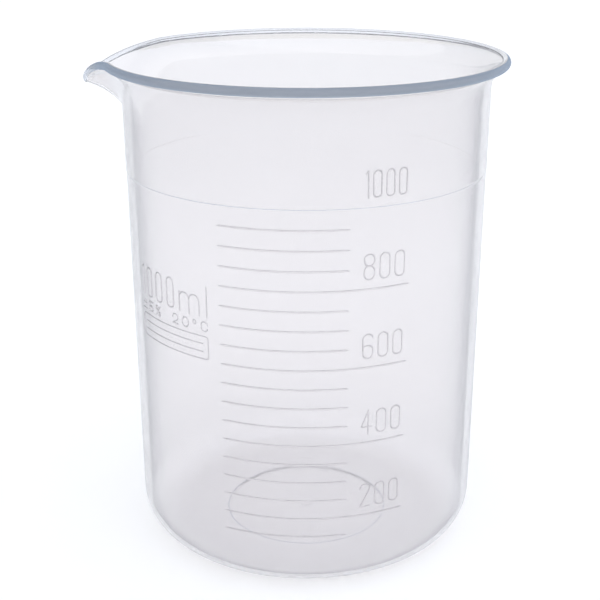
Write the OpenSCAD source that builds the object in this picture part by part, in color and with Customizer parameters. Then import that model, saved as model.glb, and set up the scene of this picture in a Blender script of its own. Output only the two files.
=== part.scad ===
// Graduated laboratory beaker, low form, with a pouring spout.
// One clear plastic moulding, drawn region by region. Origin at the centre of the foot,
// +Z up, the spout towards -X and the scale on the -Y side. Millimetres.

/* [Capacity] */
// Volume held up to the step in the wall, in millilitres
capacity = 1000; // [750, 1000, 1250]

/* [Body] */
// Outer diameter of the wall, carried down to the foot
body_d = 107.6; // [90:0.2:130]
// Draft of the wall, in degrees
draft = 0.37; // [0.1:0.01:1]
// Thickness of the wall
wall_t = 2; // [1.4:0.1:3]
// Thickness of the floor
floor_t = 1.5; // [1.2:0.1:3]
// Outer radius of the corner between floor and wall
corner_r = 12.8; // [8:0.2:15]
// Radius of the shallow recess under the floor
recess_r = 26.1; // [15:0.1:30]
// Depth of the recess under the floor
recess_depth = 0.4; // [0.2:0.1:0.6]
// Diameter of the gate mark in the middle of the recess
gate_d = 3.2; // [2:0.1:5]
// How far the wall steps out at full capacity
step_out = 0.15; // [0.1:0.05:0.5]
// Height of the rim above the step
headroom = 33; // [28:0.5:45]

/* [Rim] */
// How far the rim stands out from the wall
rim_overhang = 5.3; // [4:0.1:6]
// Radius of the turn under the rim
flare_r = 7; // [5:0.1:9]
// Diameter of the bead along the rim
bead_d = 2.6; // [2.2:0.1:3.2]

/* [Spout] */
// Half angle of the spout's mouth at the rim, in degrees
mouth_angle = 28.2; // [20:0.1:36]
// Reach of the spout's tip beyond the rim
spout_reach = 9.1; // [5:0.1:14]
// How far the tip droops below the rim
spout_droop = 9.2; // [4:0.1:12]
// How far below the rim the spout grows out of the wall
spout_depth = 23; // [14:0.1:25]
// Thickness of the lip at the tip
tip_t = 1.2; // [1:0.1:2]

/* [Marks] */
// How far the marks stand proud of the wall
relief = 0.25; // [0.15:0.05:0.5]
// Width of the scale lines
line_w = 0.55; // [0.4:0.05:0.8]
// Left end of every line, in degrees from the front
line_start = -17.5; // [-25:0.5:-10]
// Right end of the short lines
short_end = 21.5; // [15:0.5:24]
// Right end of the long lines, under the numerals
long_end = 40.5; // [36:0.5:50]
// Left edge of the numerals, in degrees from the front
numeral_start = 25.6; // [22:0.2:30]
// Width of a row of numerals
numeral_w = 12.6; // [10:0.1:15]
// Height of the numerals
numeral_h = 7.7; // [5:0.1:9]
// Height of the numerals above their line
numeral_lift = 2.5; // [1.5:0.1:4]
// Stroke width of all lettering
stroke = 0.55; // [0.4:0.05:0.8]
// Left edge of the capacity block, in degrees from the front
block_start = -53.5; // [-60:0.5:-50]
// Width of the capacity block
block_w = 30.5; // [26:0.5:34]
// Height of the capacity figures
capacity_h = 9.4; // [7:0.1:11]
// Distance from the step down to the foot of the capacity figures
capacity_drop = 33.5; // [30:0.5:38]
// Height of the calibration figures
calibration_h = 3.3; // [2.5:0.1:4]
// Height of the write-on panel
panel_h = 7.4; // [6:0.1:10]
// Space between the rows of the capacity block
row_gap = 1.1; // [0.8:0.1:3]

/* [Hidden] */
$fn = 96;
big = 300;

k = tan(draft);
foot_r = body_d / 2;
bore_corner_r = corner_r - wall_t;
// Thickness of the wall above the step
top_t = wall_t + step_out;

// Outer and inner radius of the drafted wall at height z
function wall_r(z) = foot_r + k * z;
function bore_r(z) = wall_r(z) - wall_t;

// Height of a volume in the vessel, in millilitres: a cone, less what the rounded floor corner takes up
corner_gap_area = (1 - PI / 4) * pow(bore_corner_r, 2);
corner_gap_centroid = 0.2234 * bore_corner_r;
corner_gap = 2 * PI * (bore_r(floor_t) - corner_gap_centroid) * corner_gap_area;
function cbrt(x) = pow(x, 1 / 3);
function level(ml) =
    floor_t + (cbrt(pow(bore_r(floor_t), 3) + 3 * k * (1000 * ml + corner_gap) / PI) - bore_r(floor_t)) / k;

// Marks are named by thousandths of the capacity, which at 1000 ml are the millilitres
LINES = [150:50:950];
NUMERALS = [200:200:1000];
function mark_ml(mark) = mark * capacity / 1000;
function is_long(mark) = mark % 200 == 0;

seam_z = corner_r;
step_z = level(capacity);
rim_z = step_z + headroom;

// The rim's turn: a flange as thick as the wall, curving outwards round a centre, with the bead at its end
mid_r = flare_r + top_t / 2;
bead_r = bead_d / 2;
bead_back = flare_r - rim_overhang + bead_r;
bead_z = rim_z - bead_r;
flare_z = bead_z - sqrt(pow(mid_r, 2) - pow(bead_back, 2));
flare_wall_r = wall_r(flare_z) + step_out;
flare_x = flare_wall_r + flare_r;
bead_x = flare_x - bead_back;
flare_sweep = acos(bead_back / mid_r);
rim_r = bead_x + bead_r;

// The spout's sector runs a little past its mouth, and down to where it grows out of the wall
sector_margin = 1.8;
sector = mouth_angle + sector_margin;
spout_foot_z = rim_z - spout_depth - 2;

// Skin that carries a mark: below the step the wall, above it the wall and the step
function skin_r(z) = wall_r(z) + (z >= step_z ? step_out : 0);

plastic = [0.86, 0.9, 0.95, 0.45];
plastic_edge = [0.62, 0.7, 0.8, 0.7];
plastic_mark = [0.5, 0.56, 0.64, 0.9];

// ---- Vessel ----

// Half section of a bowl with a flat floor at z0, a rounded corner of radius r and a drafted wall
module bowl_section(r0, z0, r, top) {
    centre_z = z0 + r;
    centre_x = r0 + k * centre_z - r / cos(draft);
    tangent_z = centre_z - r * sin(draft);
    translate([0, z0]) square([centre_x, top - z0]);
    intersection() {
        translate([centre_x, centre_z]) circle(r);
        translate([0, z0]) square([big, r]);
    }
    polygon([
        [centre_x, tangent_z],
        [r0 + k * tangent_z, tangent_z],
        [r0 + k * top, top],
        [centre_x, top]
    ]);
}

// Floor with its rounded corner, up to where the straight wall begins
module base() {
    color(plastic) rotate_extrude() difference() {
        bowl_section(foot_r, 0, corner_r, seam_z);
        intersection() {
            bowl_section(foot_r - wall_t, floor_t, bore_corner_r, seam_z + 1);
            square([big, seam_z + 1]);
        }
        translate([0, -1]) square([recess_r, recess_depth + 1]);
    }
}

// Half section of the wall between two heights, pushed out by extra
module wall_section(z1, z2, extra) {
    polygon([
        [bore_r(z1), z1],
        [wall_r(z1) + extra, z1],
        [wall_r(z2) + extra, z2],
        [bore_r(z2), z2]
    ]);
}

module lower_wall() {
    color(plastic) rotate_extrude() wall_section(seam_z, step_z, 0);
}

// Wedge that the spout occupies, seen from above
module spout_wedge() {
    polygon([[0, 0], [-big, big * tan(sector)], [-big, -big * tan(sector)]]);
}

module upper_wall() {
    color(plastic) difference() {
        rotate_extrude() wall_section(step_z, flare_z, step_out);
        translate([0, 0, spout_foot_z]) linear_extrude(big) spout_wedge();
    }
}

// ---- Rim ----

module rim_section() {
    translate([flare_x, flare_z]) intersection() {
        difference() {
            circle(flare_r + top_t);
            circle(flare_r);
        }
        translate([-big, 0]) square([big - bead_back, big]);
    }
    translate([bead_x, bead_z]) circle(bead_r);
}

module rim() {
    color(plastic_edge)
        rotate([0, 0, sector - 180]) rotate_extrude(angle = 360 - 2 * sector) rim_section();
}

// ---- Spout ----

function mix(a, b, t) = a + (b - a) * t;
function bezier(p, t) =
    pow(1 - t, 3) * p[0] + 3 * pow(1 - t, 2) * t * p[1] + 3 * (1 - t) * t * t * p[2] + pow(t, 3) * p[3];
function along(angle) = [cos(angle), sin(angle)];
function normal(v) = [v[1], -v[0]] / norm(v);

tip_x = rim_r + spout_reach - tip_t / 2;
tip_z = rim_z - spout_droop - tip_t / 2;
mouth_pull = 23;
tip_pull = 4.5;
tip_rise = 2;

// Centre line of the lip's bead, seen from above with the spout along +X: it leaves the rim
// along its tangent and rounds the tip
LIP = [
    [bead_x * cos(mouth_angle), bead_x * sin(mouth_angle), bead_z],
    [
        bead_x * cos(mouth_angle) + mouth_pull * sin(mouth_angle),
        bead_x * sin(mouth_angle) - mouth_pull * cos(mouth_angle),
        bead_z - 1
    ],
    [tip_x, tip_pull, tip_z + tip_rise],
    [tip_x, 0, tip_z]
];

SIDE_STEPS = 15;
CURVE_STEPS = 10;
BEAD_STEPS = 7;
rim_slope = 90 - flare_sweep;
tip_slope = 10;
// How much the handles at the root and at the lip shorten towards the tip
root_pull = 0.8;
lip_pull = 0.9;
// How sharply the spout folds out of the wall at the corners of its mouth: 1 is a crease
fold = 2;
// Length of a cubic's handle along a turn of the rim's sweep, for each unit of rise and of reach
handle = 4 / 3 * tan(flare_sweep / 4) * mid_r;
rise_handle = handle / (bead_z - flare_z);
reach_handle = handle / (mid_r - bead_back);

// Upright section of the spout at t from the mouth's corner (0) to the tip (1), as [radius, height]
// points: up the outside, round the bead of the lip, and down the inside
function spout_section(lip, angle, t) =
    let (
        depth = pow(cos(90 * min(1, abs(angle) / mouth_angle)), fold),
        root_z = mix(flare_z, rim_z - spout_depth, depth),
        root = [flare_wall_r - top_t / 2 - k * (flare_z - root_z), root_z],
        end = [norm([lip[0], lip[1]]), lip[2]],
        edge_r = mix(bead_r, tip_t / 2, t),
        slope = mix(rim_slope, tip_slope, t),
        mid = [
            root,
            root + [0, mix(1, root_pull, t) * rise_handle * (end[1] - root[1])],
            end - mix(1, lip_pull, t) * reach_handle * (end[0] - root[0]) * along(slope),
            end
        ],
        curve = [for (i = [0:CURVE_STEPS]) bezier(mid, i / CURVE_STEPS)],
        side = [
            for (i = [0:CURVE_STEPS - 1])
                let (
                    ahead = curve[i + 1] - curve[max(0, i - 1)],
                    half_t = mix(top_t, min(top_t, 1.7 * edge_r), i / CURVE_STEPS) / 2
                )
                normal(i == 0 ? [0, 1] : ahead) * half_t
        ],
        bead = [
            for (i = [0:BEAD_STEPS]) end + edge_r * along(slope - 130 + 260 * i / BEAD_STEPS)
        ],
        last = CURVE_STEPS - 1
    )
    concat(
        [[wall_r(spout_foot_z) + step_out, spout_foot_z]],
        [for (i = [0:last]) curve[i] + side[i]],
        bead,
        [for (i = [last:-1:0]) curve[i] - side[i]],
        [[bore_r(spout_foot_z), spout_foot_z]]
    );

// Section number i of 2 * SIDE_STEPS + 2, from the far side of the mouth round to the near side;
// the first and the last lie on the ends of the sector and match the rim
function spout_ring(i) =
    let (
        n = SIDE_STEPS,
        side = i <= n ? 1 : -1,
        step = i <= n ? i : 2 * n + 2 - i,
        t = max(0, step - 1) / n,
        lip = step == 0 ? bead_x * [cos(sector), sin(sector), bead_z / bead_x] : bezier(LIP, t),
        angle = atan2(lip[1], lip[0]),
        outline = spout_section(lip, angle, t),
        turn = 180 - side * angle
    )
    [for (p = outline) [p[0] * cos(turn), p[0] * sin(turn), p[1]]];

module pouring_spout() {
    rings = [for (i = [0:2 * SIDE_STEPS + 2]) spout_ring(i)];
    size = len(rings[0]);
    last = len(rings) - 1;
    quads = [for (i = [0:last - 1], j = [0:size - 1]) [i, j]];
    rungs = [for (j = [0:size / 2 - 2]) j];
    function at(i, j) = i * size + j % size;
    color(plastic_edge) polyhedron(
        points = [for (ring = rings, p = ring) p],
        faces = concat(
            [for (q = quads) [at(q[0], q[1]), at(q[0] + 1, q[1]), at(q[0] + 1, q[1] + 1)]],
            [for (q = quads) [at(q[0], q[1]), at(q[0] + 1, q[1] + 1), at(q[0], q[1] + 1)]],
            [for (j = rungs) [at(0, j), at(0, j + 1), at(0, size - 2 - j)]],
            [for (j = rungs) [at(0, j), at(0, size - 2 - j), at(0, size - 1 - j)]],
            [for (j = rungs) [at(last, j), at(last, size - 2 - j), at(last, j + 1)]],
            [for (j = rungs) [at(last, j), at(last, size - 1 - j), at(last, size - 2 - j)]]
        )
    );
}

// ---- Foot ----

module gate_mark() {
    height = recess_depth * 0.7;
    color(plastic_mark)
        translate([0, 0, recess_depth - height]) cylinder(h = height, d = gate_d);
}

// ---- Scale lines ----

// Raised line round the wall from angle a1 to a2, measured from the front, with a flattened top
module line(mark) {
    z = level(mark_ml(mark));
    a1 = line_start;
    a2 = is_long(mark) ? long_end : short_end;
    half = line_w / 2;
    top = line_w / 4;
    color(plastic_mark) rotate([0, 0, a1 - 90]) rotate_extrude(angle = a2 - a1) polygon([
        [wall_r(z - half), z - half],
        [wall_r(z - top) + relief, z - top],
        [wall_r(z + top) + relief, z + top],
        [wall_r(z + half), z + half]
    ]);
}

// ---- Lettering: glyphs w wide and h high over their strokes' centre lines, centred on x = 0 ----

function oval(centre, rx, rz, from, to) =
    [for (i = [0:8]) let (a = mix(from, to, i / 8)) centre + [rx * cos(a), rz * sin(a)]];
function arc(centre, r, from, to) = oval(centre, r, r, from, to);

// Closed loop with round ends, from height z up
function loop(w, h, z = 0) =
    let (r = w / 2)
    concat(arc([0, z + h - r], r, 0, 180), arc([0, z + r], r, 180, 360), [[r, z + h - r]]);
function shifted(points, x) = [for (p = points) p + [x, 0]];

// Strokes of a glyph, each a list of points
function strokes(c, w, h) =
    let (r = w / 2, top = h - r, waist = h * 0.54, bowl = waist / 2, cap = (h - waist) / 2)
    c == "0" ? [loop(w, h)]
    : c == "1" ? [[[-r, h - w], [r, h], [r, 0]]]
    : c == "2" ? [concat(arc([0, top], r, 180, -25), [[-r, 0], [r, 0]])]
    : c == "3" ? [
        concat(oval([0, h - cap], r, cap, 160, -60), [[0, waist]], oval([0, bowl], r, bowl, 50, -160))
    ]
    : c == "4" ? [[[r * 0.4, 0], [r * 0.4, h], [-r, h * 0.3], [r, h * 0.3]]]
    : c == "5" ? [concat([[r, h], [-r, h], [-r, h * 0.45]], oval([0, h * 0.3], r, h * 0.3, 130, -160))]
    : c == "6" ? [loop(w, waist), concat([[-r, r]], arc([0, top], r, 180, 20))]
    : c == "7" ? [[[-r, h], [r, h], [-r * 0.4, 0]]]
    : c == "8" ? [loop(w, waist), loop(w, h - waist, waist)]
    : c == "9" ? [loop(w, waist, h - waist), concat([[r, top]], arc([0, r], r, 0, -160))]
    : c == "m" ? [
        [[-r, 0], [-r, h * 0.66]],
        concat(arc([-r / 2, h * 0.66 - r / 2], r / 2, 180, 0), [[0, 0]]),
        concat(arc([r / 2, h * 0.66 - r / 2], r / 2, 180, 0), [[r, 0]])
    ]
    : c == "l" ? [[[0, 0], [0, h]]]
    : c == "C" ? [concat(arc([0, top], r, 20, 180), arc([0, r], r, 180, 340))]
    : c == "d" ? [loop(w, w * 1.3, h - w * 1.3)]
    : c == "+" ? [[[-r, h * 0.6], [r, h * 0.6]], [[0, h * 0.3], [0, h * 0.9]], [[-r, 0], [r, 0]]]
    : [
        [[-r, 0], [r, h]],
        shifted(loop(w * 0.36, w * 0.5, h - w * 0.5), w * -0.3),
        shifted(loop(w * 0.36, w * 0.5), w * 0.3)
    ];

hairline = 0.02;
// Width of the nib for glyphs of height h
function nib(h) = min(stroke, h / 7);

// A glyph drawn with a round nib: hairlines along its strokes, widened to the nib
module glyph(c, w, h) {
    inner_w = max(w - nib(h), hairline);
    inner_h = h - nib(h);
    translate([0, nib(h) / 2]) offset(r = (nib(h) - hairline) / 2, $fn = 12)
        for (line = strokes(c, inner_w, inner_h), i = [1:len(line) - 1]) {
            run = line[i] - line[i - 1];
            translate(line[i - 1]) rotate(atan2(run[1], run[0])) translate([0, -hairline / 2])
                square([norm(run), hairline]);
        }
}

// Widths of the glyphs that differ from a figure's, as shares of it
function share(c) = c == "1" ? 0.4 : c == "l" ? 0.2 : c == "m" ? 2.3 : c == "d" ? 0.5 : 1;
function total(v, n) = n <= 0 ? 0 : v[n - 1] + total(v, n - 1);

// A mark raised on the wall, at an angle from the front and with its foot at height z: it runs
// through the drafted skin and is cut back to the relief outside and to the wall inside
module raised(angle, z, h) {
    r = skin_r(z);
    difference() {
        intersection() {
            rotate([0, 0, angle]) translate([0, -foot_r * 0.8, z]) rotate([90, 0, 0])
                linear_extrude(foot_r * 0.4) children();
            translate([0, 0, z - 1])
                cylinder(h = h + 2, r1 = r - k + relief, r2 = r + k * (h + 1) + relief);
        }
        translate([0, 0, z - 2]) cylinder(h = h + 4, r1 = r - 2 * k, r2 = r + k * (h + 2));
    }
}

// A row of glyphs set to a width, with gaps of so many figure widths
module row(glyphs, start, z, width, h, gap) {
    shares = [for (c = glyphs) share(c)];
    n = len(glyphs);
    figure_w = width / (total(shares, n) + gap * (n - 1));
    for (i = [0:n - 1]) {
        left = (total(shares, i) + gap * i) * figure_w;
        w = max(shares[i] * figure_w, nib(h));
        angle = start + (left + w / 2) / skin_r(z) * 180 / PI;
        if (glyphs[i] != " ") raised(angle, z, h) glyph(glyphs[i], w, h);
    }
}

module numeral(mark) {
    ml = mark_ml(mark);
    color(plastic_mark)
        row(str(ml), numeral_start, level(ml) + numeral_lift, numeral_w, numeral_h, 0.37);
}

// ---- Capacity block ----

capacity_z = step_z - capacity_drop;
calibration_z = capacity_z - row_gap - calibration_h;
panel_z = calibration_z - row_gap - panel_h;

module capacity_mark() {
    color(plastic_mark)
        row(str(capacity, "ml"), block_start, capacity_z, block_w, capacity_h, 0.6);
}

// Tolerance and temperature; in this lettering + draws plus-or-minus and d the degree ring
module calibration_mark() {
    color(plastic_mark)
        row("+5% 20dC", block_start, calibration_z, block_w, calibration_h, 0.55);
}

module rounded(w, h, r) {
    translate([r - w / 2, 0]) square([w - 2 * r, h]);
    translate([-w / 2, r]) square([w, h - 2 * r]);
    for (x = [r - w / 2, w / 2 - r], y = [r, h - r]) translate([x, y]) circle(r, $fn = 32);
}

// Plain outlined panel to write on, with two ruled lines
module write_on_panel() {
    corner = 1.2;
    margin = 2;
    middle = block_start + block_w / 2 / skin_r(panel_z) * 180 / PI;
    width = 2 * skin_r(panel_z) * sin(block_w / 2 / skin_r(panel_z) * 180 / PI);
    color(plastic_mark) raised(middle, panel_z, panel_h) {
        difference() {
            rounded(width, panel_h, corner);
            translate([0, stroke]) rounded(width - 2 * stroke, panel_h - 2 * stroke, corner - stroke);
        }
        for (i = [1, 2]) translate([margin - width / 2, (panel_h * i - stroke) / 3])
            square([width - 2 * margin, stroke]);
    }
}

// ---- Drawing ----

base();
lower_wall();
upper_wall();
rim();
pouring_spout();
gate_mark();
for (mark = LINES) line(mark);
for (mark = NUMERALS) numeral(mark);
capacity_mark();
calibration_mark();
write_on_panel();
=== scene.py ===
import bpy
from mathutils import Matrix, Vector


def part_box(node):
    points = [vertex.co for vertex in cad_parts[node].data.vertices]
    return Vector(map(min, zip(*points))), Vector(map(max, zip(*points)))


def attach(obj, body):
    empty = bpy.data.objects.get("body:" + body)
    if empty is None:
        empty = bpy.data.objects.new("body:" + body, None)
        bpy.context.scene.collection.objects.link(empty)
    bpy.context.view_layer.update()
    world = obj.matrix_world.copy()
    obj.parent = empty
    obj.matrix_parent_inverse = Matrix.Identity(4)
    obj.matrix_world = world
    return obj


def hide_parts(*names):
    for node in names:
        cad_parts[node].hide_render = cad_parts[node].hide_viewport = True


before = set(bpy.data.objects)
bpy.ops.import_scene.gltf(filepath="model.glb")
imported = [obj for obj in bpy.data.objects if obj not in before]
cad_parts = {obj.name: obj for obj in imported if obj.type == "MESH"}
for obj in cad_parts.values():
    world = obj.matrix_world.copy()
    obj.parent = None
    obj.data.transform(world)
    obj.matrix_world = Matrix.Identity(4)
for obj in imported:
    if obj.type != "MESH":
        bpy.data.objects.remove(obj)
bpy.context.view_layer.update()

from math import acos, atan2, cos, degrees, pi, radians, sin, sqrt, tan
import bpy
import numpy as np

mm = 0.001

# shapes are worked out in millimetres round the beaker's axis, and scaled by mm when a mesh is made
# heights and radii come from the frame, wall sections from this dictionary
vessel = {
    "wall": 2.0, "floor": 1.5, "corner": 12.8, "draft": 0.37,
    "step": 0.15, "ledge": 0.2, "stepBelow": 0.6, "stepAbove": 0.4, "stepSteps": 3,
    "recessStart": 4, "recessRadius": 26.1, "recessDepth": 0.4, "recessEase": 1.3, "recessSteps": 7,
    "gateRadius": 1.6, "gateHeight": 0.15, "gateEase": 0.3, "gateMiddle": 0.4,
    "floorEdge": 38, "floorRing": 0.3, "floorLift": 0.05, "floorSteps": 4, "middleSteps": 8,
    "flare": 7.0, "bead": 2.6, "beadTurn": 130, "beadShare": 0.66,
    "rings": 240, "cornerSteps": 18, "wallSteps": 24, "footSteps": 4, "easeSteps": 8,
}

slope = tan(radians(vessel["draft"]))
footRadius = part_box("lower_wall")[1][0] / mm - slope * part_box("lower_wall")[1][2] / mm
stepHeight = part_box("lower_wall")[1][2] / mm
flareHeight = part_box("upper_wall")[1][2] / mm
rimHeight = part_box("rim")[1][2] / mm
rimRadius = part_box("rim")[1][0] / mm
tipReach = -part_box("pouring_spout")[0][0] / mm
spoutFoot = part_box("pouring_spout")[0][2] / mm
beadRadius = vessel["bead"] / 2
topWall = vessel["wall"] + vessel["step"]


def wallRadius(z):
    return footRadius + slope * z


def skinRadius(z):
    return wallRadius(z) + (vessel["step"] if z > stepHeight else 0)


def boreRadius(z):
    return wallRadius(z) - vessel["wall"]


def mix(a, b, t):
    return a + (b - a) * t


def oval(centre, rx, rz, start, end, steps=24):
    turns = np.radians(np.linspace(start, end, steps + 1))
    return [(centre[0] + rx * cos(a), centre[1] + rz * sin(a)) for a in turns]


def arcPoints(centre, radius, start, end, steps):
    return oval(centre, radius, radius, start, end, steps)


def bezier(p, t):
    p = np.asarray(p, float)
    return (1 - t) ** 3 * p[0] + 3 * (1 - t) ** 2 * t * p[1] + 3 * (1 - t) * t * t * p[2] + t ** 3 * p[3]


def meshObject(name, points, faces):
    mesh = bpy.data.meshes.new(name)
    mesh.from_pydata([tuple(float(c) * mm for c in p) for p in points], [], faces)
    mesh.validate()
    mesh.polygons.foreach_set("use_smooth", [True] * len(mesh.polygons))
    piece = bpy.data.objects.new(name, mesh)
    bpy.context.scene.collection.objects.link(piece)
    return piece


# the pouring spout: its lip is one smooth curve that leaves the rim along its tangent and rounds the tip
spout = {
    "mouthAngle": 28.2, "depth": 23.0, "tipThickness": 1.2, "tipSlope": 10.0, "fold": 2, "lipWall": 1.7,
    "mouthPull": 23.0, "mouthDrop": 1, "tipPull": 4.5, "tipRise": 2.0, "droop": 9.2,
    "rootPull": 0.8, "lipPull": 0.9, "lipSteps": 44, "curveSteps": 20, "beadSteps": 14,
}

turnRadius = vessel["flare"] + topWall / 2
beadX = rimRadius - beadRadius
beadZ = rimHeight - beadRadius
flareRadius = wallRadius(flareHeight) + vessel["step"]
beadBack = flareRadius + vessel["flare"] - beadX
flareSweep = acos(beadBack / turnRadius)
handle = 4 / 3 * tan(flareSweep / 4) * turnRadius
riseHandle = handle / (beadZ - flareHeight)
reachHandle = handle / (turnRadius - beadBack)
mouth = radians(spout["mouthAngle"])
tipX = tipReach - spout["tipThickness"] / 2
tipZ = rimHeight - spout["droop"] - spout["tipThickness"] / 2
lipCurve = [
    (beadX * cos(mouth), beadX * sin(mouth), beadZ),
    (beadX * cos(mouth) + spout["mouthPull"] * sin(mouth),
     beadX * sin(mouth) - spout["mouthPull"] * cos(mouth), beadZ - spout["mouthDrop"]),
    (tipX, spout["tipPull"], tipZ + spout["tipRise"]),
    (tipX, 0, tipZ),
]


def lipSection(lipRadius, lipHeight, angle, t):
    # upright section from the wall over the lip and back, as (radius, height) points
    depth = cos(pi / 2 * min(1, abs(angle) / mouth)) ** spout["fold"]
    rootZ = mix(flareHeight, rimHeight - spout["depth"], depth)
    root = np.array([flareRadius - topWall / 2 - slope * (flareHeight - rootZ), rootZ])
    end = np.array([lipRadius, lipHeight])
    edge = mix(beadRadius, spout["tipThickness"] / 2, t)
    lean = mix(pi / 2 - flareSweep, radians(spout["tipSlope"]), t)
    reach = mix(1, spout["lipPull"], t) * reachHandle * (end[0] - root[0])
    rise = mix(1, spout["rootPull"], t) * riseHandle * (end[1] - root[1])
    middle = [root, root + [0, rise], end - reach * np.array([cos(lean), sin(lean)]), end]
    steps = spout["curveSteps"]
    curve = [bezier(middle, i / steps) for i in range(steps + 1)]
    outside, inside = [], []
    for i in range(steps):
        ahead = np.array([0, 1]) if i == 0 else curve[i + 1] - curve[i - 1]
        side = np.array([ahead[1], -ahead[0]]) / np.hypot(*ahead)
        half = mix(topWall, min(topWall, spout["lipWall"] * edge), i / steps) / 2
        outside.append(curve[i] + side * half)
        inside.append(curve[i] - side * half)
    outward, turn = degrees(lean), vessel["beadTurn"]
    bead = arcPoints(end, edge, outward - turn, outward + turn, spout["beadSteps"])
    return outside, bead, inside[::-1]


def wallRun(radius, low, high, steps):
    return [(radius(z), z) for z in np.linspace(low, high, steps + 1)]


def flatRun(start, end, height, steps):
    return [(r, height) for r in np.linspace(start, end, steps + 1)]


def easedStep(radius, width, low, high):
    # soft step in the underside: height goes from low to high over width on each side of radius
    return [(radius + width * x, mix(low, high, (1 + sin(x * pi / 2)) / 2))
            for x in np.linspace(-1, 1, vessel["easeSteps"] + 1)]


def lowerOutside():
    # from the gate mark in the middle of the foot, over the recess and the corner, up to below the spout
    v = vessel
    corner = (wallRadius(v["corner"]) - v["corner"], v["corner"])
    gateTop = v["recessDepth"] - v["gateHeight"]
    ledgeLow, ledgeHigh = stepHeight - v["ledge"] / 2, stepHeight + v["ledge"] / 2
    points = [(0, gateTop), (v["gateRadius"] * v["gateMiddle"], gateTop)]
    points += easedStep(v["gateRadius"], v["gateEase"], gateTop, v["recessDepth"])
    recessEnd = v["recessRadius"] - 2 * v["recessEase"]
    points += flatRun(v["recessStart"], recessEnd, v["recessDepth"], v["recessSteps"])
    points += easedStep(v["recessRadius"], v["recessEase"], v["recessDepth"], 0)
    points += flatRun(v["recessRadius"] + 2, corner[0] - 1, 0, v["footSteps"])
    points += arcPoints(corner, v["corner"], -90, 0, v["cornerSteps"])
    points += wallRun(wallRadius, v["corner"] + 2, stepHeight - v["stepBelow"], v["wallSteps"])
    points += [(wallRadius(stepHeight), ledgeLow), (skinRadius(ledgeHigh), ledgeHigh)]
    points += wallRun(skinRadius, stepHeight + v["stepAbove"], spoutFoot, v["stepSteps"])
    return points


# the floor of the bore, a hair higher within a faint ring that follows the edge of the recess
ringEdge = vessel["recessRadius"] + vessel["floorRing"]
floorRun = flatRun(vessel["floorEdge"], ringEdge, vessel["floor"], vessel["floorSteps"])
floorRun += flatRun(ringEdge - vessel["floorRing"], 0, vessel["floor"] + vessel["floorLift"],
                    vessel["middleSteps"])


def lowerInside():
    # from below the spout down the bore and round the inner corner to the middle of the floor
    v = vessel
    inner = v["corner"] - v["wall"]
    centre = (boreRadius(v["floor"] + inner) - inner, v["floor"] + inner)
    points = wallRun(boreRadius, spoutFoot, v["floor"] + inner + 2, v["wallSteps"])
    points += arcPoints(centre, inner, 0, -90, v["cornerSteps"])
    return points + floorRun


def spoutAngles():
    # all round: (angle from the spout's middle, lip radius, lip height, share of the way to the tip)
    half = []
    for i in range(spout["lipSteps"] + 1):
        t = 1 - i / spout["lipSteps"]
        x, y, z = bezier(lipCurve, t)
        half.append((atan2(y, x), np.hypot(x, y), z, t))
    half += [(a, beadX, beadZ, 0) for a in np.linspace(half[-1][0], pi, vessel["rings"] // 2)[1:]]
    return half + [(-a, r, z, t) for a, r, z, t in half[-2:0:-1]]


def buildVessel():
    # one closed skin, in three zones: 0 outside and floor, 1 bead, step and floor ring, 2 bore; zone 1's
    # finish lays painted shade on the bead and painted dark lines on the step and the floor ring
    below, above = lowerOutside(), lowerInside()
    rings = []
    for angle, lipRadius, lipHeight, t in spoutAngles():
        outside, bead, inside = lipSection(lipRadius, lipHeight, angle, t)
        section = below[1:] + outside + bead + inside + above[:-1]
        turn = pi - angle
        rings.append([(r * cos(turn), r * sin(turn), z) for r, z in section])
    size, count = len(rings[0]), len(rings)
    skinEnd = len(below) - 1 + len(outside)
    beadEnd = skinEnd + round(len(bead) * vessel["beadShare"])
    boreStart, floorStart = size - len(above), size - len(floorRun)
    # the narrow faces across the step in the wall and along the ring on the floor, which take the bead's
    # finish and show as painted dark lines
    narrow = (len(below) - vessel["stepSteps"] - 4, floorStart + vessel["floorSteps"] + 1)
    sectionZones = [1 if j in narrow or skinEnd <= j < beadEnd else 2 if boreStart <= j < floorStart else 0
                    for j in range(size - 1)]
    points = [p for ring in rings for p in ring] + [(0, 0, below[0][1]), (0, 0, above[-1][1])]
    faces, zones = [], []
    for i in range(count):
        a, b = i * size, (i + 1) % count * size
        faces += [(a + j, a + j + 1, b + j + 1, b + j) for j in range(size - 1)]
        faces += [(a, b, count * size), (b + size - 1, a + size - 1, count * size + 1)]
        zones += sectionZones + [0, 0]
    piece = meshObject("clear_vessel", points, faces)
    piece.data.polygons.foreach_set("material_index", zones)
    return piece


clearVessel = buildVessel()
print("vessel made", len(clearVessel.data.vertices), "points")

# angles are degrees from the front, the rest is millimetres or shares
marks = {
    "relief": 0.25, "sink": 0.12, "stroke": 0.44, "slimmest": 7, "cell": 0.2,
    "lineWidth": 0.55, "lineStart": -17.5, "shortEnd": 21.5, "longEnd": 40.5, "longEvery": 200,
    "endRound": 0.5, "endShare": 0.02, "lineSteps": 48, "lineSides": 14,
    "numeralStart": 25.6, "numeralWidth": 12.6, "numeralHeight": 7.7, "numeralGap": 0.37,
    "blockStart": -53.5, "blockWidth": 30.5, "capacityGap": 0.6, "calibrationGap": 0.55,
    "frameRound": 1, "ruledInset": 2.2, "waist": 0.54, "arch": 0.66,
}


def onWall(angle, z, height):
    # point at an angle in degrees from the front, standing height over the skin
    r = skinRadius(z) + height
    a = radians(angle - 90)
    return (r * cos(a), r * sin(a), z)


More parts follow.
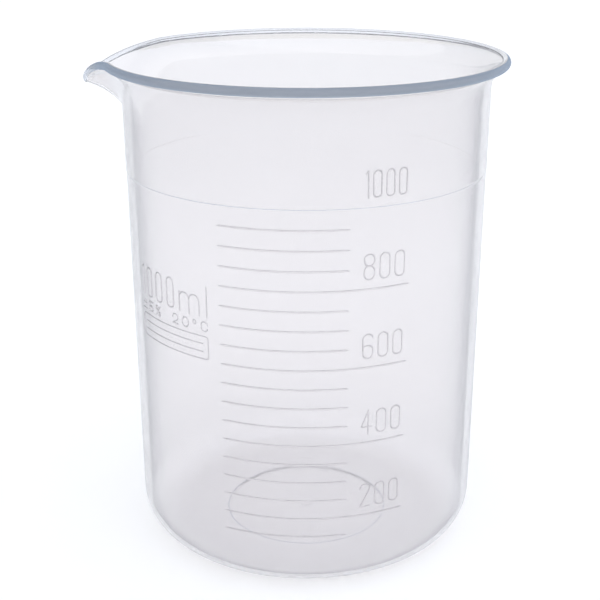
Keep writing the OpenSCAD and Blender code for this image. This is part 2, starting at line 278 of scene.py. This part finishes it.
def raisedLine(node):
    low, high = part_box(node)
    z = (low[2] + high[2]) / 2 / mm
    start = marks["lineStart"]
    end = marks["longEnd"] if int(node.split("_")[1]) % marks["longEvery"] == 0 else marks["shortEnd"]
    along = np.linspace(start, end, marks["lineSteps"])
    endTurn = marks["endRound"] / wallRadius(z) * 180 / pi
    n = marks["lineSides"]
    points = []
    for a in along:
        near = min(a - start, end - a) / endTurn
        full = sqrt(max(marks["endShare"], 1 - max(0, 1 - near) ** 2))
        for turn in np.linspace(0, 2 * pi, n, endpoint=False):
            deep = marks["relief"] if sin(turn) > 0 else marks["sink"]
            points.append(onWall(a, z + cos(turn) * full * marks["lineWidth"] / 2, sin(turn) * deep * full))
    faces = [(i * n + j, i * n + (j + 1) % n, (i + 1) * n + (j + 1) % n, (i + 1) * n + j)
             for i in range(len(along) - 1) for j in range(n)]
    faces += [tuple(range(n))[::-1], tuple((len(along) - 1) * n + j for j in range(n))]
    return meshObject(node + "_ridge", points, faces)


lines = [raisedLine(node) for node in sorted(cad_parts) if node.startswith("line_")]
print("scale lines made", len(lines))


def loop(w, h, z=0, x=0):
    r = w / 2
    return oval((x, z + h - r), r, r, 0, 180) + oval((x, z + r), r, r, 180, 360) + [(x + r, z + h - r)]


def strokes(glyph, w, h):
    # centre lines of a figure w wide and h high, as lists of points
    r, waist, arch = w / 2, h * marks["waist"], h * marks["arch"]
    top = h - r
    if glyph == "0":
        return [loop(w, h)]
    if glyph == "1":
        return [[(-r, h - w), (r, h), (r, 0)]]
    if glyph == "2":
        return [oval((0, top), r, r, 180, -25) + [(-r, 0), (r, 0)]]
    if glyph == "4":
        return [[(r * 0.4, 0), (r * 0.4, h), (-r, h * 0.3), (r, h * 0.3)]]
    if glyph == "5":
        return [[(r, h), (-r, h), (-r, h * 0.45)] + oval((0, h * 0.3), r, h * 0.3, 130, -160)]
    if glyph == "6":
        return [loop(w, waist), [(-r, r)] + oval((0, top), r, r, 180, 20)]
    if glyph == "8":
        return [loop(w, waist), loop(w, h - waist, waist)]
    if glyph == "m":
        humps = [oval((x, arch - r / 2), r / 2, r / 2, 180, 0) + [(x + r / 2, 0)] for x in (-r / 2, r / 2)]
        return [[(-r, 0), (-r, arch)]] + humps
    if glyph == "l":
        return [[(0, 0), (0, h)]]
    if glyph == "C":
        return [oval((0, top), r, r, 20, 180) + oval((0, r), r, r, 180, 340)]
    if glyph == "d":  # degree ring
        return [loop(w, w * 1.3, h - w * 1.3)]
    if glyph == "+":  # plus or minus
        return [[(-r, h * 0.6), (r, h * 0.6)], [(0, h * 0.3), (0, h * 0.9)], [(-r, 0), (r, 0)]]
    if glyph == "%":
        ringW, ringH = w * 0.36, w * 0.5
        return [[(-r, 0), (r, h)], loop(ringW, ringH, h - ringH, w * -0.3), loop(ringW, ringH, 0, w * 0.3)]
    return []


def figureShare(glyph):
    # width next to that of a zero
    return {"1": 0.4, "l": 0.2, "m": 2.3, "d": 0.5}.get(glyph, 1)


def nearest(points, paths):
    # distance from each point to the nearest stroke
    best = np.full(len(points), 1e9)
    for path in paths:
        for a, b in zip(np.array(path[:-1]), np.array(path[1:])):
            run = b - a
            t = ((points - a) @ run / max(run @ run, 1e-9)).clip(0, 1)
            best = np.minimum(best, np.linalg.norm(points - a - t[:, None] * run, axis=1))
    return best


def allCorners(flags):
    # cells of the grid that have all four corners flagged
    return flags[:-1, :-1] & flags[1:, :-1] & flags[:-1, 1:] & flags[1:, 1:]


def cellsRound(cells):
    # number of cells round each point of the grid
    padded = np.pad(cells.astype(int), 1)
    return padded[:-1, :-1] + padded[1:, :-1] + padded[:-1, 1:] + padded[1:, 1:]


def raisedStrokes(paths, width):
    # a pillow over the strokes: half-round above the skin, thinner below it, closed where they meet
    flat = np.array([p for path in paths for p in path])
    low, high = flat.min(0) - width, flat.max(0) + width
    cell = marks["cell"] * width
    count = np.ceil((high - low) / cell).astype(int) + 1
    u, v = np.meshgrid(*(low[k] + cell * np.arange(count[k]) for k in (0, 1)), indexing="ij")
    grid = np.stack([u.ravel(), v.ravel()], 1)
    half = width / 2
    depth = half - nearest(grid, paths)
    cells = allCorners((depth > 0).reshape(count))
    border = (cellsRound(cells) > 0) & (cellsRound(cells) < 4)
    # a cell with all its corners on the border would have no thickness
    cells &= ~allCorners(border)
    used = cellsRound(cells) > 0
    border, used = (border & used).ravel(), used.ravel()
    # the border moves out to the edge of the stroke
    shift = 1e-4
    outward = np.stack([nearest(grid[border] + d, paths) - nearest(grid[border] - d, paths)
                        for d in (np.array([shift, 0]), np.array([0, shift]))], 1)
    outward /= np.maximum(np.linalg.norm(outward, axis=1, keepdims=True), 1e-9)
    grid[border] += outward * depth[border, None]
    near = (half - nearest(grid, paths)).clip(0, half) / half
    near[border] = 0
    dome = np.sqrt(1 - (1 - near) ** 2)
    inner = used & ~border
    above = -np.ones(len(grid), int)
    above[used] = np.arange(used.sum())
    under = above.copy()
    under[inner] = np.arange(inner.sum()) + used.sum()
    points = [(p[0], p[1], h * marks["relief"]) for p, h in zip(grid[used], dome[used])]
    points += [(p[0], p[1], -h * marks["sink"]) for p, h in zip(grid[inner], dome[inner])]
    faces = []
    for i, j in zip(*np.nonzero(cells)):
        start, ahead = i * count[1] + j, (i + 1) * count[1] + j
        quad = [start, ahead, ahead + 1, start + 1]
        faces.append([int(above[q]) for q in quad])
        faces.append([int(under[q]) for q in quad[::-1]])
    return points, faces


def markPiece(name, parts, width):
    # parts: (angle from the front, height, paths) of each figure
    points, faces = [], []
    for angle, z, paths in parts:
        made, quads = raisedStrokes(paths, width)
        r = skinRadius(z)
        faces += [[q + len(points) for q in quad] for quad in quads]
        points += [onWall(angle + x / r * 180 / pi, z + y, h) for x, y, h in made]
    return meshObject(name, points, faces)


def textRow(name, text, start, z, width, height, gap):
    pen = min(marks["stroke"], height / marks["slimmest"])
    shares = [figureShare(c) for c in text]
    figure = width / (sum(shares) + gap * (len(text) - 1))
    parts = []
    for i, c in enumerate(text):
        w = max(shares[i] * figure, pen)
        left = (sum(shares[:i]) + gap * i) * figure
        angle = start + (left + w / 2) / skinRadius(z) * 180 / pi
        paths = [[(x, y + pen / 2) for x, y in path]
                 for path in strokes(c, max(w - pen, 0.02), height - pen)]
        if paths:
            parts.append((angle, z, paths))
    return markPiece(name, parts, pen)


def footOf(node):
    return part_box(node)[0][2] / mm


def heightOf(node):
    return (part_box(node)[1][2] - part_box(node)[0][2]) / mm


def roundedFrame(width, height, r):
    x, y = width / 2 - r, height - r
    corners = ((x, y), (-x, y), (-x, r), (x, r))
    run = [p for i, corner in enumerate(corners) for p in arcPoints(corner, r, 90 * i, 90 * i + 90, 8)]
    return run + [(x + r, y)]


def writeOnPanel():
    z, height = footOf("write_on_panel"), heightOf("write_on_panel")
    pen, width = marks["stroke"], marks["blockWidth"]
    middle = marks["blockStart"] + width / 2 / skinRadius(z) * 180 / pi
    outline = [(x, y + pen / 2) for x, y in roundedFrame(width - pen, height - pen, marks["frameRound"])]
    reach = width / 2 - marks["ruledInset"]
    ruled = [[(-reach, height * i / 3), (reach, height * i / 3)] for i in (1, 2)]
    return markPiece("panel_outline", [(middle, z, [path]) for path in [outline] + ruled], pen)


numerals = {}
for node in sorted(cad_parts):
    if node.startswith("numeral_"):
        numerals[node] = textRow(node + "_raised", node.split("_")[1], marks["numeralStart"], footOf(node),
                                 marks["numeralWidth"], marks["numeralHeight"], marks["numeralGap"])
capacityMark = textRow("capacity_raised", "1000ml", marks["blockStart"], footOf("capacity_mark"),
                       marks["blockWidth"], heightOf("capacity_mark"), marks["capacityGap"])
calibrationMark = textRow("calibration_raised", "+5% 20dC", marks["blockStart"], footOf("calibration_mark"),
                          marks["blockWidth"], heightOf("calibration_mark"), marks["calibrationGap"])
panel = writeOnPanel()
raisedMarks = [capacityMark, calibrationMark, panel] + lines + list(numerals.values())
print("numerals and capacity block made")

for piece in [clearVessel] + raisedMarks:
    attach(piece, "root")
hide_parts("base", "lower_wall", "upper_wall", "rim", "pouring_spout", "gate_mark")
for piece in lines:
    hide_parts(piece.name.replace("_ridge", ""))
for node, piece in numerals.items():
    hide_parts(node)
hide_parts("capacity_mark")
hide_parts("calibration_mark")
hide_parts("write_on_panel")


def groupOf(name, inputs, output, kind):
    # a shader node group with its sockets, inputs given as (name, kind, starting value)
    group = bpy.data.node_groups.new(name, "ShaderNodeTree")
    for label, inputKind, value in inputs:
        socket = group.interface.new_socket(label, in_out="INPUT", socket_type=inputKind)
        socket.default_value = value
    group.interface.new_socket(output, in_out="OUTPUT", socket_type=kind)
    return group, group.nodes.new("NodeGroupInput").outputs, group.nodes.new("NodeGroupOutput").inputs


def feed(tree, socket, value):
    # a number is set on the socket, another node's output is linked to it
    if isinstance(value, (int, float)):
        socket.default_value = value
    else:
        tree.links.new(value, socket)


def objectPlace(tree):
    return tree.nodes.new("ShaderNodeTexCoord").outputs["Object"]


def splitPlace(tree, place):
    split = tree.nodes.new("ShaderNodeSeparateXYZ")
    tree.links.new(place, split.inputs["Vector"])
    return split.outputs


def noiseAt(tree, place, scale, detail):
    noise = tree.nodes.new("ShaderNodeTexNoise")
    noise.inputs["Scale"].default_value = scale
    noise.inputs["Detail"].default_value = detail
    tree.links.new(place, noise.inputs["Vector"])
    return noise.outputs["Fac"]


def stretched(tree, place, stretch):
    mapping = tree.nodes.new("ShaderNodeMapping")
    mapping.inputs["Scale"].default_value = stretch
    tree.links.new(place, mapping.inputs["Vector"])
    return mapping.outputs["Vector"]


def ranged(tree, value, low, high, outLow, outHigh):
    node = tree.nodes.new("ShaderNodeMapRange")
    settings = {"Value": value, "From Min": low, "From Max": high, "To Min": outLow, "To Max": outHigh}
    for label, setting in settings.items():
        feed(tree, node.inputs[label], setting)
    return node.outputs["Result"]


def mathAt(tree, operation, *values):
    node = tree.nodes.new("ShaderNodeMath")
    node.operation = operation
    for socket, value in zip(node.inputs, values):
        feed(tree, socket, value)
    return node.outputs["Value"]


def colourMix(tree, share, first, second, blend="MIX"):
    node = tree.nodes.new("ShaderNodeMix")
    node.data_type = "RGBA"
    node.blend_type = blend
    for label, value in (("Factor", share), ("A", first), ("B", second)):
        tree.links.new(value, next(i for i in node.inputs if i.name == label and i.enabled))
    return next(o for o in node.outputs if o.enabled)


def mixedShader(tree, share, first, second):
    node = tree.nodes.new("ShaderNodeMixShader")
    for socket, value in zip(node.inputs, (share, first, second)):
        tree.links.new(value, socket)
    return node.outputs["Shader"]


# noise scales and stretches of the finish, and the height in metres where the mouth's tone sets in
grain = {
    "cloud": 22, "scratch": (260, 260, 24), "smudge": 30, "wornFrom": 0.2,
    "ripple": (70, 70, 9), "pebble": 420, "mouthStart": 0.1,
}


def tintAndPaintedShade():
    # clear stock with faint clouding, darker towards the corner of the foot as painted shade, and turning to
    # the Mouth colour towards the top
    colour, number = "NodeSocketColor", "NodeSocketFloat"
    group, given, out = groupOf("tint and painted shade", [
        ("Wall", colour, (0.9, 0.9, 0.93, 1)), ("Foot", colour, (0.8, 0.8, 0.84, 1)),
        ("Mouth", colour, (0.9, 0.9, 0.93, 1)), ("Foot Height", number, 0.02),
        ("Mouth Height", number, 0.13), ("Clouding", number, 0.1),
    ], "Color", colour)
    where = objectPlace(group)
    height = splitPlace(group, where)["Z"]
    rise = ranged(group, height, 0.0, given["Foot Height"], 0.0, 1.0)
    upper = ranged(group, height, grain["mouthStart"], given["Mouth Height"], 0.0, 1.0)
    wall = colourMix(group, rise, given["Foot"], given["Wall"])
    blend = colourMix(group, upper, wall, given["Mouth"])
    cloud = noiseAt(group, where, grain["cloud"], 4)
    group.links.new(colourMix(group, given["Clouding"], blend, cloud, "SOFT_LIGHT"), out["Color"])
    return group


def handlingHaze():
    # roughness with fine scuffs that run up the wall
    number = "NodeSocketFloat"
    group, given, out = groupOf("handling haze", [
        ("Polish", number, 0.03), ("Scuffed", number, 0.12), ("Scuffs", number, 0.6),
    ], "Roughness", number)
    where = objectPlace(group)
    scratch = noiseAt(group, stretched(group, where, grain["scratch"]), 1, 3)
    both = mathAt(group, "MULTIPLY", scratch, noiseAt(group, where, grain["smudge"], 3))
    worn = ranged(group, both, grain["wornFrom"], given["Scuffs"], 0.0, 1.0)
    group.links.new(ranged(group, worn, 0.0, 1.0, given["Polish"], given["Scuffed"]), out["Roughness"])
    return group


def flowRipple():
    # height of the long shallow ripples that the melt leaves on a moulded wall
    number = "NodeSocketFloat"
    group, given, out = groupOf("flow ripple", [
        ("Upright", number, 1.0), ("Fine", number, 0.2),
    ], "Height", number)
    where = objectPlace(group)
    upright = noiseAt(group, stretched(group, where, grain["ripple"]), 1, 1)
    fine = mathAt(group, "MULTIPLY", noiseAt(group, where, grain["pebble"], 1), given["Fine"])
    group.links.new(mathAt(group, "MULTIPLY_ADD", upright, given["Upright"], fine), out["Height"])
    return group


tintGroup, hazeGroup, rippleGroup = tintAndPaintedShade(), handlingHaze(), flowRipple()


def placed(tree, group, values):
    node = tree.nodes.new("ShaderNodeGroup")
    node.node_tree = group
    for label, value in values.items():
        node.inputs[label].default_value = value
    return node.outputs[0]


def paintedShadeShare(tree, look):
    # share of painted shade: a dark sheet mixed in towards grazing angles, in place of the dark edges that
    # refraction gives clear plastic
    facing = tree.nodes.new("ShaderNodeLayerWeight").outputs["Facing"]
    rise = mathAt(tree, "MULTIPLY", mathAt(tree, "POWER", facing, look["veilFall"]), look["veilEdge"])
    share = mathAt(tree, "ADD", rise, look["veilFront"])
    # less painted shade on the thin lip of the spout
    thick = ranged(tree, splitPlace(tree, objectPlace(tree))["X"], *look["lipFade"], 1.0)
    front = mathAt(tree, "SUBTRACT", 1, tree.nodes.new("ShaderNodeNewGeometry").outputs["Backfacing"])
    return mathAt(tree, "MULTIPLY", mathAt(tree, "MULTIPLY", share, thick), front)


def clearPlastic(name, look):
    material = bpy.data.materials.new(name)
    material.use_nodes = True
    tree = material.node_tree
    shader = tree.nodes["Principled BSDF"]
    shader.inputs["IOR"].default_value = look["ior"]
    shader.inputs["Transmission Weight"].default_value = look["clear"]
    tint = placed(tree, tintGroup, {
        "Wall": (*look["wall"], 1), "Foot": (*look["foot"], 1), "Mouth": (*look["mouth"], 1),
        "Foot Height": look["footHeight"], "Mouth Height": look["mouthHeight"], "Clouding": look["clouding"],
    })
    haze = placed(tree, hazeGroup, {
        "Polish": look["polish"], "Scuffed": look["scuffed"], "Scuffs": look["scuffs"],
    })
    bump = tree.nodes.new("ShaderNodeBump")
    bump.inputs["Strength"].default_value = look["bump"]
    bump.inputs["Distance"].default_value = look["bumpDepth"]
    ripple = placed(tree, rippleGroup, {"Upright": look["ripple"], "Fine": look["fine"]})
    tree.links.new(ripple, bump.inputs["Height"])
    tree.links.new(tint, shader.inputs["Base Color"])
    tree.links.new(haze, shader.inputs["Roughness"])
    tree.links.new(bump.outputs["Normal"], shader.inputs["Normal"])
    # painted shade: a dark diffuse sheet mixed over the clear plastic towards grazing angles
    veil = tree.nodes.new("ShaderNodeBsdfDiffuse")
    veil.inputs["Color"].default_value = (*look["veil"], 1)
    withPaintedShade = mixedShader(tree, paintedShadeShare(tree, look), shader.outputs["BSDF"], veil.outputs["BSDF"])
    # lamps reach what stands behind the wall
    through = tree.nodes.new("ShaderNodeBsdfTransparent")
    through.inputs["Color"].default_value = (*look["shade"], 1)
    shadow = tree.nodes.new("ShaderNodeLightPath").outputs["Is Shadow Ray"]
    surface = mixedShader(tree, shadow, withPaintedShade, through.outputs["BSDF"])
    tree.links.new(surface, tree.nodes["Material Output"].inputs["Surface"])
    return material


# lipFade: where along x in metres the painted shade sets in behind the spout's tip, and its share at the tip
# outside: a weak grey painted shade towards grazing angles, a Foot colour darker as painted shade of the
# corner, and a little darker towards the mouth
skinLook = {
    "wall": (0.905, 0.89, 0.894), "foot": (0.85, 0.84, 0.85), "mouth": (0.875, 0.86, 0.865),
    "footHeight": 0.03, "mouthHeight": 0.13, "clouding": 0.12,
    "ior": 1.47, "clear": 0.88, "polish": 0.03, "scuffed": 0.14, "scuffs": 0.6,
    "ripple": 1.0, "fine": 0.06, "bump": 0.25, "bumpDepth": 0.0004, "shade": (0.93, 0.93, 0.95),
    "veil": (0.42, 0.45, 0.51), "veilFront": 0.0, "veilEdge": 0.25, "veilFall": 3.0,
    "lipFade": (-0.068, -0.058, 0.3),
}
# bead: blue-grey painted shade even face-on and a bluer Mouth colour as painted shade; this finish also
# draws the step and the floor ring as painted dark lines
rimLook = dict(skinLook, mouth=(0.8, 0.84, 0.9), veil=(0.265, 0.335, 0.435),
               veilFront=0.38, veilEdge=0.6, veilFall=2.0)
# bore: near-black painted shade at grazing angles, drawing the dark lines inside the wall
boreLook = dict(skinLook, veil=(0.07, 0.08, 0.11), veilEdge=2.6, veilFall=6.6)
# raised marks: dark painted shade on the edges of the strokes
markLook = dict(skinLook, clear=0.92, fine=0.0, veil=(0.2, 0.21, 0.23), veilEdge=0.9, veilFall=2.0)
for label, look in (("outside", skinLook), ("bead", rimLook), ("bore", boreLook)):
    clearVessel.data.materials.append(clearPlastic("clear polypropylene, " + label, look))
markMaterial = clearPlastic("clear polypropylene, raised marks", markLook)
for piece in raisedMarks:
    piece.data.materials.append(markMaterial)
print("plastic finishes made")

# lengths in metres, angles in degrees
studio = {
    "floorSize": 6.0, "floorTone": (0.9, 0.9, 0.9), "floorRough": 0.9, "floorGlow": 0.2, "floorDrop": 0.0003,
    "horizon": (1, 1, 1), "zenith": (0.4, 0.45, 0.54), "horizonEnd": 0.25, "zenithStart": 0.8,
    "leftStrength": 0.6, "rightStrength": 1.4,
    "lampPower": 1.3, "lampColour": (1, 0.985, 0.96), "lampSpread": 110, "lampTilt": (25, -15),
    "lens": 71.37, "distance": 0.357, "height": 0.2045, "azimuth": 9.05, "pitch": 20.05, "shift": -0.0105,
}


def paleFloor():
    bpy.ops.mesh.primitive_plane_add(size=studio["floorSize"], location=(0, 0, -studio["floorDrop"]))
    floor = bpy.context.object
    floor.name = "pale_floor"
    finish = bpy.data.materials.new("light table")
    finish.use_nodes = True
    shader = finish.node_tree.nodes["Principled BSDF"]
    shader.inputs["Base Color"].default_value = (*studio["floorTone"], 1)
    shader.inputs["Roughness"].default_value = studio["floorRough"]
    shader.inputs["Specular IOR Level"].default_value = 0
    shader.inputs["Emission Color"].default_value = (1, 1, 1, 1)
    shader.inputs["Emission Strength"].default_value = studio["floorGlow"]
    floor.data.materials.append(finish)


def softRoom():
    # white round the horizon and cooler overhead, a little stronger from the right
    world = bpy.data.worlds.new("soft room")
    bpy.context.scene.world = world
    world.use_nodes = True
    tree = world.node_tree
    direction = splitPlace(tree, tree.nodes.new("ShaderNodeTexCoord").outputs["Generated"])
    ramp = tree.nodes.new("ShaderNodeValToRGB")
    stops = (("horizonEnd", "horizon"), ("zenithStart", "zenith"))
    for element, (place, colour) in zip(ramp.color_ramp.elements, stops):
        element.position = studio[place]
        element.color = (*studio[colour], 1)
    background = tree.nodes["Background"].inputs
    tree.links.new(direction["Z"], ramp.inputs["Fac"])
    tree.links.new(ramp.outputs["Color"], background["Color"])
    side = ranged(tree, direction["X"], -1.0, 1.0, studio["leftStrength"], studio["rightStrength"])
    tree.links.new(side, background["Strength"])


def overheadLamp():
    lamp = bpy.data.objects.new("overhead lamp", bpy.data.lights.new("overhead lamp", "SUN"))
    lamp.data.energy = studio["lampPower"]
    lamp.data.color = studio["lampColour"]
    lamp.data.angle = radians(studio["lampSpread"])
    lamp.rotation_euler = (radians(studio["lampTilt"][0]), radians(studio["lampTilt"][1]), 0)
    bpy.context.scene.collection.objects.link(lamp)


paleFloor()
softRoom()
overheadLamp()
print("studio made")

camera = bpy.data.objects.new("camera", bpy.data.cameras.new("camera"))
camera.data.lens = studio["lens"]
camera.data.shift_x = studio["shift"]
turn = radians(studio["azimuth"])
camera.location = (studio["distance"] * sin(turn), -studio["distance"] * cos(turn), studio["height"])
camera.rotation_euler = (radians(90 - studio["pitch"]), 0, turn)
bpy.context.scene.collection.objects.link(camera)
bpy.context.scene.camera = camera
bpy.context.scene.view_settings.view_transform = "Standard"
